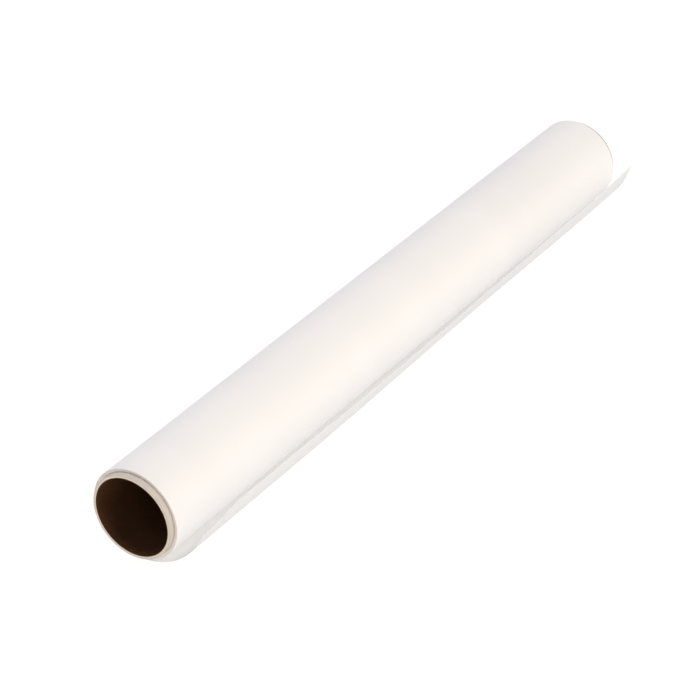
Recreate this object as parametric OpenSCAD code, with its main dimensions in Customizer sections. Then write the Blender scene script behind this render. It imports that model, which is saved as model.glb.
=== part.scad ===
// Roll of sign vinyl, lying on its side with its outer lap sprung open.
// The roll's axis runs along Y, Z is up, and the origin is the middle of the core's bore.
// The web winds counter-clockwise as seen from -Y: over the top, down the -X side, under the roll,
// and the loose lap leaves the roll at its lowest line and curls up on the +X side.

/* [Core] */
// Inside diameter of the paper core
core_bore_d = 76.2; // [70:0.1:82]
// Thickness of each glued paper ply
core_ply_t = 0.5; // [0.3:0.05:0.7]
// How far the core stands out of the web at each end
core_overhang = 6; // [2:0.5:15]

/* [Web] */
// Width of the vinyl web, along the roll
web_width = 762; // [300:1:1220]
// Thickness of the vinyl face film
film_t = 0.07; // [0.05:0.01:0.1]
// Thickness of the adhesive coat under the film
adhesive_t = 0.02; // [0.015:0.005:0.03]
// Thickness of the paper release liner
liner_t = 0.085; // [0.07:0.005:0.12]
// Air left between one turn and the next in the tight winding
turn_air = 0.005; // [0.004:0.001:0.01]
// Half turns in the tight winding, an odd number
half_turns = 33; // [21:2:41]

/* [Start tape] */
// Width of the tape that holds the first turn, around the core
tape_w = 25; // [15:1:40]
// Thickness of that tape
tape_t = 0.09; // [0.05:0.01:0.12]

/* [Loose lap] */
// Gap between the tight winding and the sprung lap where it leaves the roll
lap_gap = 0.57; // [0.45:0.01:0.8]
// Free length of the lap past the lowest line
tail_len = 93; // [84:1:98]
// Radius that the free lap springs open to
tail_r = 67.5; // [60:0.5:90]
// Slit between neighbouring panels of the free lap
panel_slit = 0.16; // [0.14:0.01:0.3]

/* [Hidden] */
CORE_PLIES = 6;
PANELS = 6;
// Flat facets in one panel of the free lap, and in the start tape
PANEL_FACETS = 6;
TAPE_FACETS = 24;
FN = 180;

// Clearance between the core and the first turn, which the start tape fills
tape_room = tape_t + 0.01;
core_r = core_bore_d / 2;
core_out_r = core_r + CORE_PLIES * core_ply_t;
core_len = web_width + 2 * core_overhang;
laminate_t = liner_t + adhesive_t + film_t;
pitch = laminate_t + turn_air;
film_offset = liner_t + adhesive_t;
// The last two half turns make the outer turn, and this one ends the inner turns
inner_last = half_turns - 3;

// Inner radius of half turn h where it starts, at the bottom or the top of the roll
function turn_r(h) = core_out_r + tape_room + h * pitch / 2;

// The tight winding ends at the top, where the sprung lap begins
lap_top_r = turn_r(half_turns);
lap_bottom_r = turn_r(half_turns - 1) + laminate_t + lap_gap;
roll_r = lap_bottom_r + laminate_t;

panel_deg = tail_len / tail_r * 180 / PI / PANELS;
slit_deg = panel_slit / tail_r * 180 / PI;
tail_centre_z = tail_r - roll_r;

KRAFT = [0.62, 0.47, 0.33];
BOARD = [0.72, 0.62, 0.50];
LINER = [0.88, 0.85, 0.78];
VINYL = [0.96, 0.96, 0.95];
TAPE = [0.85, 0.82, 0.66];

// A shell around a line along Y, from angle a0 to a1, measured from +X towards +Z
module arc_shell(r_in, t, a0, a1, length, centre_z = 0) {
    translate([0, 0, centre_z])
        rotate([90, 0, 0])
            rotate_extrude(angle = a1 - a0, start = a0, $fn = FN)
                translate([r_in, -length / 2])
                    square([t, length]);
}

// The same shell in flat facets, whose corners lie on the two radii
module bent_sheet(r_in, t, a0, a1, facets, length, centre_z = 0) {
    step = (a1 - a0) / facets;
    rotate([90, 0, 0])
        linear_extrude(length, center = true)
            polygon([
                for (i = [0 : facets])
                    [r_in * cos(a0 + i * step), centre_z + r_in * sin(a0 + i * step)],
                for (i = [facets : -1 : 0])
                    [(r_in + t) * cos(a0 + i * step), centre_z + (r_in + t) * sin(a0 + i * step)]
            ]);
}

// A whole tube around the Y axis
module tube(r_in, t, length) {
    rotate([90, 0, 0])
        rotate_extrude($fn = FN)
            translate([r_in, -length / 2])
                square([t, length]);
}

// One ply of the core, counted from the bore
module core_ply(n) {
    tube(core_r + (n - 1) * core_ply_t, core_ply_t, core_len);
}

// One layer of half turns first to last of the tight winding, offset outwards from the liner's inside.
// Even half turns run up the +X side from the bottom, odd ones down the -X side from the top.
module wound_layer(first, last, offset_t, t) {
    for (h = [first : last]) {
        right = h % 2 == 0;
        arc_shell(
            turn_r(h) + pitch / 4 + offset_t, t,
            right ? -90 : 90, right ? 90 : 270,
            web_width, right ? pitch / 4 : -pitch / 4
        );
    }
}

// One layer of the sprung half turn, from the top of the roll down the -X side to the lowest line
module sprung_lap_layer(offset_t, t) {
    arc_shell(
        (lap_top_r + lap_bottom_r) / 2 + offset_t, t, 90, 270,
        web_width, (lap_top_r - lap_bottom_r) / 2
    );
}

// One layer of one panel of the free lap, counted from the lowest line of the roll
module tail_layer(n, offset_t, t) {
    bent_sheet(
        tail_r - laminate_t + offset_t, t,
        -90 + (n - 1) * panel_deg + slit_deg / 2, -90 + n * panel_deg - slit_deg / 2,
        PANEL_FACETS, web_width, tail_centre_z
    );
}

module core_inner_ply() { color(KRAFT) core_ply(1); }
module core_ply_2() { color(BOARD) core_ply(2); }
module core_ply_3() { color(BOARD) core_ply(3); }
module core_ply_4() { color(BOARD) core_ply(4); }
module core_ply_5() { color(BOARD) core_ply(5); }
module core_outer_ply() { color(KRAFT) core_ply(6); }

// The tape lies under the start of the first turn, at the lowest line of the core.
// The middles of its inner facets touch the core.
module start_tape() {
    half_deg = tape_w / 2 / core_out_r * 180 / PI;
    corner_r = core_out_r / cos(half_deg / TAPE_FACETS);
    color(TAPE)
        bent_sheet(corner_r, tape_t, -90 - half_deg, -90 + half_deg, TAPE_FACETS, web_width);
}

module inner_turns_liner() { color(LINER) wound_layer(0, inner_last, 0, liner_t); }
module inner_turns_film() { color(VINYL) wound_layer(0, inner_last, film_offset, film_t); }
module outer_turn_liner() { color(LINER) wound_layer(inner_last + 1, half_turns - 1, 0, liner_t); }
module outer_turn_film() { color(VINYL) wound_layer(inner_last + 1, half_turns - 1, film_offset, film_t); }
module sprung_lap_liner() { color(LINER) sprung_lap_layer(0, liner_t); }
module sprung_lap_film() { color(VINYL) sprung_lap_layer(film_offset, film_t); }
module tail_liner(n) { color(LINER) tail_layer(n, 0, liner_t); }
module tail_film(n) { color(VINYL) tail_layer(n, film_offset, film_t); }

core_inner_ply();
core_ply_2();
core_ply_3();
core_ply_4();
core_ply_5();
core_outer_ply();
start_tape();
inner_turns_liner();
inner_turns_film();
outer_turn_liner();
outer_turn_film();
sprung_lap_liner();
sprung_lap_film();
tail_liner(1);  // tail_liner_1
tail_liner(2);  // tail_liner_2
tail_liner(3);  // tail_liner_3
tail_liner(4);  // tail_liner_4
tail_liner(5);  // tail_liner_5
tail_liner(6);  // tail_liner_6
tail_film(1);  // tail_film_1
tail_film(2);  // tail_film_2
tail_film(3);  // tail_film_3
tail_film(4);  // tail_film_4
tail_film(5);  // tail_film_5
tail_film(6);  // tail_film_6
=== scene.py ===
import math

import bmesh
import bpy
import numpy as np
from mathutils import Matrix, Vector, noise


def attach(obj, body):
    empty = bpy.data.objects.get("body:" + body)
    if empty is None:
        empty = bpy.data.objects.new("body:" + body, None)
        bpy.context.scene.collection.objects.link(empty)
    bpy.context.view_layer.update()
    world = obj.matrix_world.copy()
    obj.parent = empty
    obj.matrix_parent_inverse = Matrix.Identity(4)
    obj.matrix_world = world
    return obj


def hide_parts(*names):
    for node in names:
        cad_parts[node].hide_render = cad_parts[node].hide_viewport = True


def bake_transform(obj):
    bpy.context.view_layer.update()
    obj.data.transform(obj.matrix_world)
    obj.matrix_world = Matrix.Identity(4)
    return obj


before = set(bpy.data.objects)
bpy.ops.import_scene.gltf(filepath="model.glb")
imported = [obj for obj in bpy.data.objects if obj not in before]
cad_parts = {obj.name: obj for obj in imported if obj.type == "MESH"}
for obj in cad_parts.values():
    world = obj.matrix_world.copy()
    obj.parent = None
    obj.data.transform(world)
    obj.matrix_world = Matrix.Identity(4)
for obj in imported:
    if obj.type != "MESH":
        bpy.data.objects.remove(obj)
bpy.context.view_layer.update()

MM = 0.001

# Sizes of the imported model. The script's own lengths are in millimetres, and are turned into metres
# where something is made or placed.
CORE_R = 38.1
PLY_T = 0.5
PLIES = 6
TAPE_ROOM = 0.1
WEB_HALF = 381.0
OVERHANG = 6.0
CORE_HALF = WEB_HALF + OVERHANG
LINER_T = 0.085
LAMINATE_T = 0.175
TURN_AIR = 0.005
PITCH = LAMINATE_T + TURN_AIR
FIRST_R = CORE_R + PLIES * PLY_T + TAPE_ROOM
TIGHT_TURNS = 16.5
INNER_TURNS = TIGHT_TURNS - 1
ROLL_R = 45.0
# How much farther out the sprung half turn is at its end than at its start
LAP_SPRING = ROLL_R - LAMINATE_T - FIRST_R - PITCH * TIGHT_TURNS
TAIL_LEN = 93.0
PANELS = 6
PANEL_LEN = TAIL_LEN / PANELS

# The visible film starts just above the liner, because it takes the adhesive coat with it
FILM_IN = 0.089
# Turns from the web's start to the roll's lowest line, where the free lap leaves it
LAP_TURN = TIGHT_TURNS + 0.5
# The lap's first pieces start this far before the lowest line, so that no joint shows there
WRAP_DEG = 15
# The floor lies just under the roll
FLOOR_Z = -45.03
# Edges sharper than this stay crisp
CREASE = math.radians(40)


# ---------------------------------------------------------------- meshes

def smoothstep(x, low, high):
    """0 up to low, 1 from high on, and a smooth rise between them."""
    t = np.clip((np.asarray(x, float) - low) / (high - low), 0, 1)
    return t * t * (3 - 2 * t)


def wobble(x, y, seed, scale=1.0):
    """Smooth noise from -1 to 1 at points (x, y)."""
    flat = [
        noise.noise(Vector((a * scale, b * scale, seed)))
        for a, b in zip(np.ravel(x), np.ravel(y))
    ]
    return np.array(flat).reshape(np.shape(x))


def smooth_but_crisp(mesh):
    """Smooth shading that leaves the cut edges sharp."""
    mesh.shade_smooth()
    mesh.set_sharp_from_angle(angle=CREASE)


def mesh_object(name, verts, faces, web):
    """An object from points in millimetres. web holds each point's place on the flat sheet, in metres."""
    mesh = bpy.data.meshes.new(name)
    mesh.from_pydata((np.asarray(verts) * MM).tolist(), [], np.asarray(faces).tolist())
    attribute = mesh.attributes.new("web", "FLOAT_VECTOR", "POINT")
    attribute.data.foreach_set("vector", np.asarray(web, np.float32).ravel())
    smooth_but_crisp(mesh)
    mesh.update()
    obj = bpy.data.objects.new(name, mesh)
    bpy.context.scene.collection.objects.link(obj)
    return obj


def quads(a, b, c, d):
    """Faces with four corners, from four equal arrays of point numbers."""
    return np.stack([a, b, c, d], -1).reshape(-1, 4)


def sheet_solid(name, inner, outer, along, across):
    """A thin closed solid between two grids of points, rows along the web and columns across it."""
    rows, cols = inner.shape[:2]
    count = rows * cols
    top = np.arange(count).reshape(rows, cols)
    under = top + count
    rim = np.concatenate([top[:, 0], top[-1, 1:], top[-2::-1, -1], top[0, -2:0:-1]])
    rim_next = np.roll(rim, -1)
    faces = np.concatenate([
        quads(top[:-1, :-1], top[:-1, 1:], top[1:, 1:], top[1:, :-1]),
        quads(under[:-1, :-1], under[1:, :-1], under[1:, 1:], under[:-1, 1:]),
        quads(rim, rim_next, rim_next + count, rim + count),
    ])
    verts = np.concatenate([outer.reshape(-1, 3), inner.reshape(-1, 3)])
    u, v = np.meshgrid(along, across, indexing="ij")
    web = np.stack([u, v, 0 * u], -1).reshape(-1, 3) * MM
    return mesh_object(name, verts, faces, np.concatenate([web, web]))


# ---------------------------------------------------------------- the wound web

def web_radius(turns):
    """Radius of the liner's inner side, that many turns after the web's start at the lowest line."""
    turns = np.asarray(turns, float)
    spring = LAP_SPRING * (1 - np.cos(np.clip(turns - TIGHT_TURNS, 0, 0.5) * 2 * math.pi)) / 2
    return FIRST_R + PITCH * np.minimum(turns, TIGHT_TURNS) + spring


def web_length(turns):
    """Length of web wound up to there, in millimetres."""
    return 2 * math.pi * (FIRST_R * turns + PITCH * turns * turns / 2)


def edge_shift(turns):
    """How far a turn's edge stands out of the web's end. The outer turns stand out most."""
    trend = 0.55 * smoothstep(turns, 10.0, 16.6) - 0.35
    slow = wobble(turns * 0.5, 0 * turns, 3.1)
    quick = wobble(turns * 3.7, 0 * turns, 8.4)
    steps = 0.14 * slow + 0.03 * quick
    return trend + steps


def swell(angle, y):
    """Soft outward unevenness of the outer turns, up to a tenth of a millimetre and none at the ends."""
    broad = wobble(np.cos(angle) * 1.3 + 5, y / 95, 1.7)
    fine = wobble(np.sin(angle) * 2 + 2, y / 41, 4.2)
    lumps = broad + 0.5 * fine
    return 0.035 * (lumps + 1.5) * smoothstep(WEB_HALF - np.abs(y), 0, 14)


def wound(name, first, last, low, high, step_deg, columns, uneven):
    """The web between two turn counts, from offset low to high above the liner's inner side."""
    count = max(2, round((last - first) * 360 / step_deg) + 1)
    turns = np.linspace(first, last, count)
    share = np.linspace(-1, 1, columns)
    angle = -math.pi / 2 + 2 * math.pi * turns
    near = WEB_HALF + edge_shift(turns)
    # Another stretch of the same noise, so that the two ends differ
    far = WEB_HALF + edge_shift(turns + 40)
    y = np.where(share[None] < 0, near[:, None], far[:, None]) * share[None]
    radius = web_radius(turns)[:, None] + 0 * y
    if uneven:
        fade_in = smoothstep(turns, first, first + 0.1)[:, None]
        radius = radius + swell(angle[:, None] + 0 * y, y) * fade_in

    def grid(offset):
        r = radius + offset
        return np.stack([r * np.cos(angle)[:, None], y, r * np.sin(angle)[:, None]], -1)

    return sheet_solid(name, grid(low), grid(high), web_length(turns), share * WEB_HALF)


LAP_START = LAP_TURN - WRAP_DEG / 360
# The inner turns show only their edges, and the outer turn shows its uneven face as well
hidden = {"step_deg": 3, "columns": 2, "uneven": False}
seen = {"step_deg": 2, "columns": 49, "uneven": True}
wound_liner = wound("wound_liner", 0, INNER_TURNS, 0, LINER_T, **hidden)
wound_film = wound("wound_film", 0, INNER_TURNS, FILM_IN, LAMINATE_T, **hidden)
outer_liner = wound("outer_liner", INNER_TURNS, LAP_START, 0, LINER_T, **seen)
outer_film = wound("outer_film", INNER_TURNS, LAP_START, FILM_IN, LAMINATE_T, **seen)


# ---------------------------------------------------------------- the loose lap

# The step along the lap in which its curve is summed up
LAP_STEP = 0.25
# Points in one row across the lap, and the longest stretch between two rows
LAP_COLUMNS = 65
LAP_ROW = 0.9
# The lap's curvature changes from the root's to the cut edge's between these lengths
CURL_FROM, CURL_TO = 50, 78
# The outer turns' unevenness fades out over this length before the lowest line
EVEN_OUT = 8


def lap_bend(y):
    """Curvature of the free lap at its root and at its cut edge, in 1/mm, at places y along the roll.

    The lap opens more at the near end, and its far corner opens least. The cut edge curls most
    at the near end, but less again over its last few centimetres there.
    """
    place = y / ROLL_R
    near = 1 - smoothstep(place, -5, 3)
    far_corner = smoothstep(place, 6.3, 8.5)
    opening = 1.465 + 0.175 * near - 0.065 * far_corner
    root = 1 / (opening * ROLL_R)
    curl = 0.33 + 0.57 * (1 - smoothstep(place, -6, 1.5)) + 0.15 * smoothstep(place, 2.5, 5.5)
    near_corner = smoothstep(-place, 6.9, 8.5)
    edge = (curl - 0.45 * near_corner) / ROLL_R
    return root, edge


def summed(rate):
    """Running sum of a rate down each column, by the trapezium rule."""
    return np.concatenate([0 * rate[:1], np.cumsum((rate[1:] + rate[:-1]) / 2 * LAP_STEP, 0)])


def lap_grid(t_values, y_values, offset):
    """Points of the lap: before 0 it wraps the roll, and after 0 it springs away."""
    fine = np.arange(0, TAIL_LEN + LAP_STEP, LAP_STEP)
    root, edge = lap_bend(y_values)
    mix = smoothstep(fine, CURL_FROM, CURL_TO)[:, None]
    heading = summed(root[None] * (1 - mix) + edge[None] * mix)
    x = summed(np.cos(heading))
    z = -ROLL_R + summed(np.sin(heading))
    depth = LAMINATE_T - offset
    out = np.zeros((len(t_values), len(y_values), 3))
    for row, t in enumerate(t_values):
        if t < 0:
            turns = LAP_TURN + t / (2 * math.pi * ROLL_R)
            angle = -math.pi / 2 + 2 * math.pi * turns
            uneven = swell(np.full(len(y_values), angle), y_values) * smoothstep(-t, 0, EVEN_OUT)
            r = web_radius(turns) + offset + uneven
            out[row] = np.stack([r * math.cos(angle), y_values, r * math.sin(angle)], -1)
        else:
            x_at, z_at, heading_at = (
                np.array([np.interp(t, fine, column) for column in grid.T])
                for grid in (x, z, heading)
            )
            out[row] = np.stack([
                x_at - depth * np.sin(heading_at), y_values, z_at + depth * np.cos(heading_at)
            ], -1)
    return out


def lap_piece(name, t0, t1, low, high):
    """The lap from t0 to t1 past the lowest line, from offset low to high above its inner side."""
    rows = max(3, math.ceil((t1 - t0) / LAP_ROW) + 1)
    t_values = np.linspace(t0, t1, rows)
    shift = float(edge_shift(np.array([LAP_TURN]))[0])
    y_values = np.linspace(-WEB_HALF - shift, WEB_HALF + shift, LAP_COLUMNS)
    return sheet_solid(
        name, lap_grid(t_values, y_values, low), lap_grid(t_values, y_values, high),
        web_length(LAP_TURN) + t_values, y_values,
    )


laps = []
wrap_start = -2 * math.pi * ROLL_R * WRAP_DEG / 360
for layer, low, high in (("liner", 0, LINER_T), ("film", FILM_IN, LAMINATE_T)):
    for k in range(1, PANELS + 1):
        t0 = wrap_start if k == 1 else (k - 1.5) * PANEL_LEN
        t1 = TAIL_LEN if k == PANELS else (k - 0.5) * PANEL_LEN
        piece = lap_piece(f"lap_{layer}_{k}", t0, t1, low, high)
        laps.append((piece, layer, k, (t1 - t0) * MM))


# ---------------------------------------------------------------- the paper core

def helix_ply(name, number):
    """One ply of the core: a strip on a helix with a narrow open seam, trimmed at both ends."""
    lead, seam, step_deg, glue = 112.0, 0.7, 3.0, 0.01
    r_in = CORE_R + (number - 1) * PLY_T + (0.0 if number == 1 else glue)
    r_out = CORE_R + number * PLY_T
    # Each ply's seam lies away from its neighbours' seams
    offset = -lead * (0.13 + 0.37 * number)
    # The strip starts and ends well outside the core, so that the trimmed ends are whole
    turns = 2 * CORE_HALF / lead + 2.5
    count = round(turns * 360 / step_deg)
    angle = np.linspace(0, turns * 2 * math.pi, count)
    across = np.array([0, 0.02, 0.1, 0.5, 0.9, 0.98, 1])
    start = -CORE_HALF - lead * 1.2 + offset % lead - lead
    y = start + lead * angle[:, None] / (2 * math.pi) + (lead - seam) * across[None]

    def grid(r):
        r = r + 0 * y
        return np.stack([r * np.cos(angle)[:, None], y, r * np.sin(angle)[:, None]], -1)

    along = angle / (2 * math.pi) * math.hypot(lead, 2 * math.pi * r_in)
    obj = sheet_solid(name, grid(r_in), grid(r_out), along, across * lead)
    bm = bmesh.new()
    bm.from_mesh(obj.data)
    for side in (-1, 1):
        found = bmesh.ops.bisect_plane(
            bm, geom=bm.verts[:] + bm.edges[:] + bm.faces[:], dist=1e-7,
            plane_co=(0, side * CORE_HALF * MM, 0), plane_no=(0, side, 0), clear_outer=True,
        )
        rim = [part for part in found["geom_cut"] if isinstance(part, bmesh.types.BMEdge)]
        bmesh.ops.edgenet_fill(bm, edges=rim)
    bmesh.ops.recalc_face_normals(bm, faces=bm.faces)
    bm.to_mesh(obj.data)
    bm.free()
    smooth_but_crisp(obj.data)
    return obj


plies = [helix_ply(f"core_strip_{n}", n) for n in range(1, PLIES + 1)]


# ---------------------------------------------------------------- materials

class Nodes:
    """A short way to write a material's node tree."""

    def __init__(self, name):
        self.material = bpy.data.materials.new(name)
        self.material.use_nodes = True
        self.tree = self.material.node_tree
        self.shader = self.tree.nodes["Principled BSDF"]

    def add(self, kind, inputs=None, **settings):
        node = self.tree.nodes.new("ShaderNode" + kind)
        for key, value in settings.items():
            setattr(node, key, value)
        for key, value in (inputs or {}).items():
            socket = node.inputs[key]
            if isinstance(value, bpy.types.NodeSocket):
                self.tree.links.new(value, socket)
            else:
                socket.default_value = value
        return node

    def link(self, source, socket):
        self.tree.links.new(source, self.shader.inputs[socket])

    def noise(self, vector, scale, detail=3.0, rough=0.5):
        return self.add("TexNoise", {
            "Vector": vector, "Scale": scale, "Detail": detail, "Roughness": rough,
        }).outputs[0]

    def stretch(self, vector, scale):
        return self.add("Mapping", {"Vector": vector, "Scale": scale}).outputs[0]

    def ramp(self, value, low, high, out_low=0.0, out_high=1.0):
        return self.add("MapRange", {
            "Value": value, "From Min": low, "From Max": high, "To Min": out_low, "To Max": out_high,
        }).outputs[0]

    def mix(self, factor, a, b):
        node = self.add("Mix", data_type="RGBA")
        for socket, value in ((node.inputs[0], factor), (node.inputs[6], a), (node.inputs[7], b)):
            if isinstance(value, bpy.types.NodeSocket):
                self.tree.links.new(value, socket)
            else:
                socket.default_value = value
        return node.outputs[2]

    def math(self, operation, a, b):
        return self.add("Math", {0: a, 1: b}, operation=operation).outputs[0]

    def cut_edge_and_shade(self, colour, edge_and_shade_colour):
        """The colour, with the sheet's cut edges, which face along the roll, in a beige tone that is partly
        the paper and adhesive in them and partly painted shade.
        """
        normal = self.add("NewGeometry").outputs["Normal"]
        along = self.add("SeparateXYZ", {0: normal}).outputs["Y"]
        return self.mix(self.ramp(self.math("ABSOLUTE", along, 0.0), 0.6, 0.8), colour, edge_and_shade_colour)

    def bump(self, height, strength, distance):
        node = self.add("Bump", {"Height": height, "Strength": strength, "Distance": distance})
        self.link(node.outputs[0], "Normal")


def let_light_through(m, tint):
    """A single thickness of the web lets part of the light past, so that it casts only a pale shadow."""
    path = m.add("LightPath")
    clear = m.add("BsdfTransparent", {"Color": (tint, tint, tint, 1)})
    surface = m.shader.outputs[0]
    for ray in ("Is Shadow Ray", "Is Diffuse Ray"):
        mix = m.add("MixShader", {0: path.outputs[ray]})
        m.tree.links.new(surface, mix.inputs[1])
        m.tree.links.new(clear.outputs[0], mix.inputs[2])
        surface = mix.outputs[0]
    m.tree.links.new(surface, m.tree.nodes["Material Output"].inputs["Surface"])


# The free lap takes its darker tone, partly painted shade, over this length past the lowest line, in metres
LAP_SHADE_OVER = 0.03
# The part of the light that passes the free lap: nearly all, because the photo shows hardly any shadow
LIGHT_PAST = 0.985


def lap_tone_with_shade(m, web, tone, thin_shaded):
    """The tone of the free lap, where no sheet lies behind it: a little darker, partly as a single sheet
    reflects less and partly as painted shade.
    """
    along = m.add("SeparateXYZ", {0: web}).outputs["X"]
    lowest_line = float(web_length(LAP_TURN)) * MM
    return m.mix(m.ramp(along, lowest_line, lowest_line + LAP_SHADE_OVER), tone, thin_shaded)


def vinyl_material(name, through=0.0):
    """White calendered vinyl, with fine lines along the web and a slight orange peel.

    through is the part of the light that passes the sheet, or 0 where it is wound.
    """
    m = Nodes(name)
    web = m.add("Attribute", attribute_name="web").outputs["Vector"]
    lines = m.noise(m.stretch(web, (1.5, 60, 1)), 6.0, 4)
    bands = m.noise(m.stretch(web, (0.8, 9, 1)), 1.6, 2)
    peel = m.noise(web, 900.0, 3)
    tone = m.mix(m.ramp(bands, 0.35, 0.65), (0.87, 0.853, 0.858, 1), (0.891, 0.875, 0.881, 1))
    if through:
        # The free lap's darker tone is partly painted shade
        tone = lap_tone_with_shade(m, web, tone, (0.785, 0.775, 0.78, 1))
    # Beige cut edges: partly the adhesive in them, partly painted shade
    m.link(m.cut_edge_and_shade(tone, (0.92, 0.84, 0.75, 1)), "Base Color")
    m.link(m.ramp(lines, 0.3, 0.7, 0.5, 0.58), "Roughness")
    height = m.math("ADD", m.math("MULTIPLY", lines, 0.5), m.math("MULTIPLY", peel, 0.5))
    m.bump(height, 0.12, 0.00002)
    m.shader.inputs["IOR"].default_value = 1.5
    if through:
        let_light_through(m, through)
    return m.material


def liner_material(name, through=0.0):
    """Coated release paper, with its fibres showing faintly. through is as for the vinyl."""
    m = Nodes(name)
    web = m.add("Attribute", attribute_name="web").outputs["Vector"]
    fibre = m.noise(m.stretch(web, (1, 0.45, 1)), 1400.0, 4, 0.6)
    cloud = m.noise(web, 160.0, 3)
    base = m.mix(m.ramp(cloud, 0.35, 0.65), (0.875, 0.86, 0.83, 1), (0.905, 0.89, 0.865, 1))
    tone = m.mix(m.ramp(fibre, 0.45, 0.75, 0.0, 0.25), base, (0.82, 0.795, 0.745, 1))
    if through:
        # The free lap's darker tone is partly painted shade
        tone = lap_tone_with_shade(m, web, tone, (0.835, 0.83, 0.82, 1))
    # Beige cut edges: partly the paper in them, partly painted shade
    m.link(m.cut_edge_and_shade(tone, (0.90, 0.81, 0.71, 1)), "Base Color")
    m.link(m.ramp(cloud, 0.3, 0.7, 0.5, 0.62), "Roughness")
    m.bump(fibre, 0.25, 0.00003)
    if through:
        let_light_through(m, through)
    return m.material


def paper_material(name, dark, light, rough, streak, shine=0.3):
    """Wound paper board, with fibres along the strip and flecks."""
    m = Nodes(name)
    web = m.add("Attribute", attribute_name="web").outputs["Vector"]
    fibre = m.noise(m.stretch(web, (1, 3.5, 1)), 260.0, 5, 0.65)
    flecks = m.noise(web, 1500.0, 2)
    cloud = m.noise(web, 45.0, 3)
    base = m.mix(m.ramp(cloud, 0.3, 0.7), dark, light)
    streaked = m.mix(m.ramp(fibre, 0.5, 0.8, 0.0, 0.45), base, streak)
    tone = m.mix(m.ramp(flecks, 0.62, 0.75, 0.0, 0.35), streaked, light)
    m.link(tone, "Base Color")
    m.link(m.ramp(fibre, 0.3, 0.7, rough, rough + 0.1), "Roughness")
    m.bump(fibre, 0.5, 0.00008)
    m.shader.inputs["Specular IOR Level"].default_value = shine
    return m.material


vinyl = vinyl_material("vinyl")
liner = liner_material("liner")
lap_vinyl = vinyl_material("lap_vinyl", LIGHT_PAST)
lap_liner = liner_material("lap_liner", LIGHT_PAST)
# Kraft brown, darkened far below its own tone as painted shade for the inside of the bore
kraft_and_bore_shade = paper_material(
    "kraft_face", dark=(0.092, 0.038, 0.015, 1), light=(0.132, 0.057, 0.024, 1),
    rough=0.7, streak=(0.055, 0.023, 0.009, 1), shine=0.08,
)
board = paper_material(
    "core_board", dark=(0.76, 0.635, 0.505, 1), light=(0.83, 0.70, 0.565, 1),
    rough=0.75, streak=(0.63, 0.51, 0.40, 1),
)
face = paper_material(
    "core_face", dark=(0.565, 0.51, 0.465, 1), light=(0.635, 0.575, 0.53, 1),
    rough=0.65, streak=(0.47, 0.415, 0.355, 1),
)
tape = liner_material("tape")


def give(obj, material):
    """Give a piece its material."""
    obj.data.materials.clear()
    obj.data.materials.append(material)


for n, ply in enumerate(plies, 1):
    node = {1: "core_inner_ply", PLIES: "core_outer_ply"}.get(n, f"core_ply_{n}")
    if n == 1:
        give(ply, kraft_and_bore_shade)
    elif n == PLIES:
        give(ply, face)
    else:
        give(ply, board)
    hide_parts(node)
    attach(ply, "roll")

inner_length = float(web_length(INNER_TURNS)) * MM
outer_length = float(web_length(LAP_START)) * MM - inner_length
for piece, material, slot, length, under, nodes in (
    (wound_liner, liner, "liner", inner_length, "core_strip_6", ["inner_turns_liner"]),
    (wound_film, vinyl, "vinyl", inner_length, "wound_liner", ["inner_turns_film"]),
    (outer_liner, liner, "liner", outer_length, "wound_film", ["outer_turn_liner", "sprung_lap_liner"]),
    (outer_film, vinyl, "vinyl", outer_length, "outer_liner", ["outer_turn_film", "sprung_lap_film"]),
):
    give(piece, material)
    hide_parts(*nodes)
    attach(piece, "roll")

for piece, layer, k, length in laps:
    give(piece, lap_vinyl if layer == "film" else lap_liner)
    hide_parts(f"tail_{layer}_{k}")
    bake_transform(piece)

tape_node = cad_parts["start_tape"]
tape_node.data.materials.clear()
tape_node.data.materials.append(tape)


# ---------------------------------------------------------------- floor, light and camera

def plane(name, size, z):
    mesh = bpy.data.meshes.new(name)
    half = size / 2
    corners = [(-half, -half, z), (half, -half, z), (half, half, z), (-half, half, z)]
    mesh.from_pydata(corners, [], [(0, 1, 2, 3)])
    obj = bpy.data.objects.new(name, mesh)
    bpy.context.scene.collection.objects.link(obj)
    return obj


FLOOR_SIZE = 60.0
floor = plane("floor", FLOOR_SIZE, FLOOR_Z * MM)
# The floor glows, so that it stays white where the roll keeps the lamps' light off it
stage = Nodes("floor")
stage.shader.inputs["Base Color"].default_value = (0.14, 0.14, 0.14, 1)
stage.shader.inputs["Roughness"].default_value = 0.9
stage.shader.inputs["Specular IOR Level"].default_value = 0.0
stage.shader.inputs["Emission Color"].default_value = (0.992, 0.993, 0.986, 1)
stage.shader.inputs["Emission Strength"].default_value = 0.925
floor.data.materials.append(stage.material)

# A pale blue surrounding light, against the warm lamps
world = bpy.data.worlds.new("studio")
world.use_nodes = True
bpy.context.scene.world = world
background = world.node_tree.nodes["Background"]
background.inputs["Color"].default_value = (0.67, 0.80, 1.0, 1)
background.inputs["Strength"].default_value = 0.457

LAMP_DISTANCE = 3.0


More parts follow.
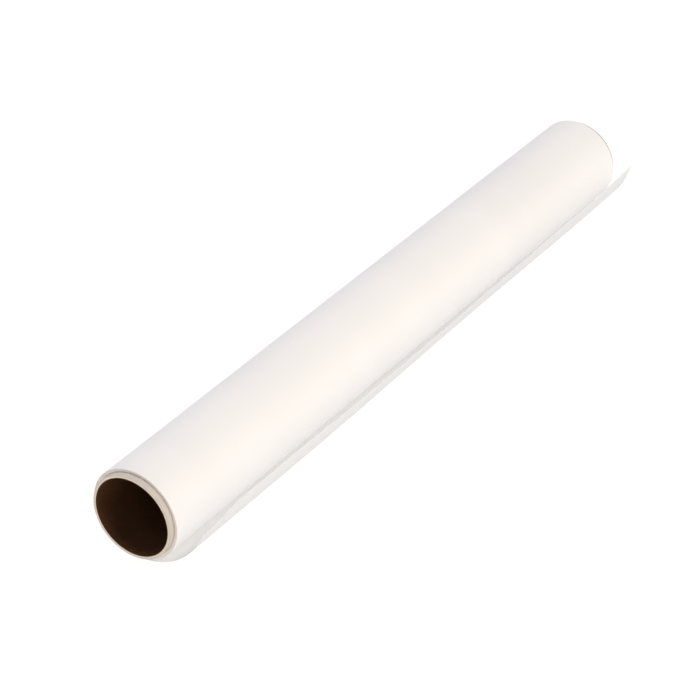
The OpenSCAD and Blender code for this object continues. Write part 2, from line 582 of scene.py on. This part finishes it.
def direction(azimuth, elevation):
    """The way from the origin to a lamp or to the camera, from angles in radians."""
    return Vector((
        math.sin(azimuth) * math.cos(elevation),
        -math.cos(azimuth) * math.cos(elevation),
        math.sin(elevation),
    ))


def softbox(name, azimuth, elevation, size, power, colour):
    """A rectangular lamp that faces the roll. Azimuth 0 is before the near end, and 90 degrees is at +X."""
    data = bpy.data.lights.new(name, "AREA")
    data.shape = "RECTANGLE"
    data.size, data.size_y = size
    data.energy = power
    data.color = colour
    obj = bpy.data.objects.new(name, data)
    back = direction(math.radians(azimuth), math.radians(elevation))
    obj.location = back * LAMP_DISTANCE
    obj.rotation_mode = "QUATERNION"
    obj.rotation_quaternion = back.to_track_quat("Z", "Y")
    bpy.context.scene.collection.objects.link(obj)


softbox("key", 90, 48, size=(1.6, 1.6), power=64, colour=(1.0, 0.86, 0.64))
softbox("fill", -90, 35, size=(1.6, 1.6), power=34, colour=(1.0, 0.88, 0.79))
softbox("front", 0, 9, size=(1.4, 0.6), power=10, colour=(1.0, 0.93, 0.86))

# The camera's direction from the origin
AZIMUTH, ELEVATION = math.radians(33.51), math.radians(32.40)
# Its distance, and how far the origin lies right of and above the middle of its view, in metres
DISTANCE, RIGHT_BY, UP_BY = 2.630, 0.02695, 0.02971
SENSOR, LENS = 36, 141.89
back = direction(AZIMUTH, ELEVATION)
right = Vector((math.cos(AZIMUTH), math.sin(AZIMUTH), 0))
up = back.cross(right)
camera = bpy.data.objects.new("camera", bpy.data.cameras.new("camera"))
camera.data.sensor_width = SENSOR
camera.data.lens = LENS
camera.data.clip_start, camera.data.clip_end = 0.05, 200
camera.matrix_world = Matrix.Translation(back * DISTANCE - right * RIGHT_BY - up * UP_BY) @ Matrix((
    right, up, back
)).transposed().to_4x4()
bpy.context.scene.collection.objects.link(camera)
bpy.context.scene.camera = camera
bpy.context.scene.view_settings.view_transform = "Standard"
# Enough bounces for the light in the narrow space between the roll and the lap
bpy.context.scene.cycles.diffuse_bounces = 10
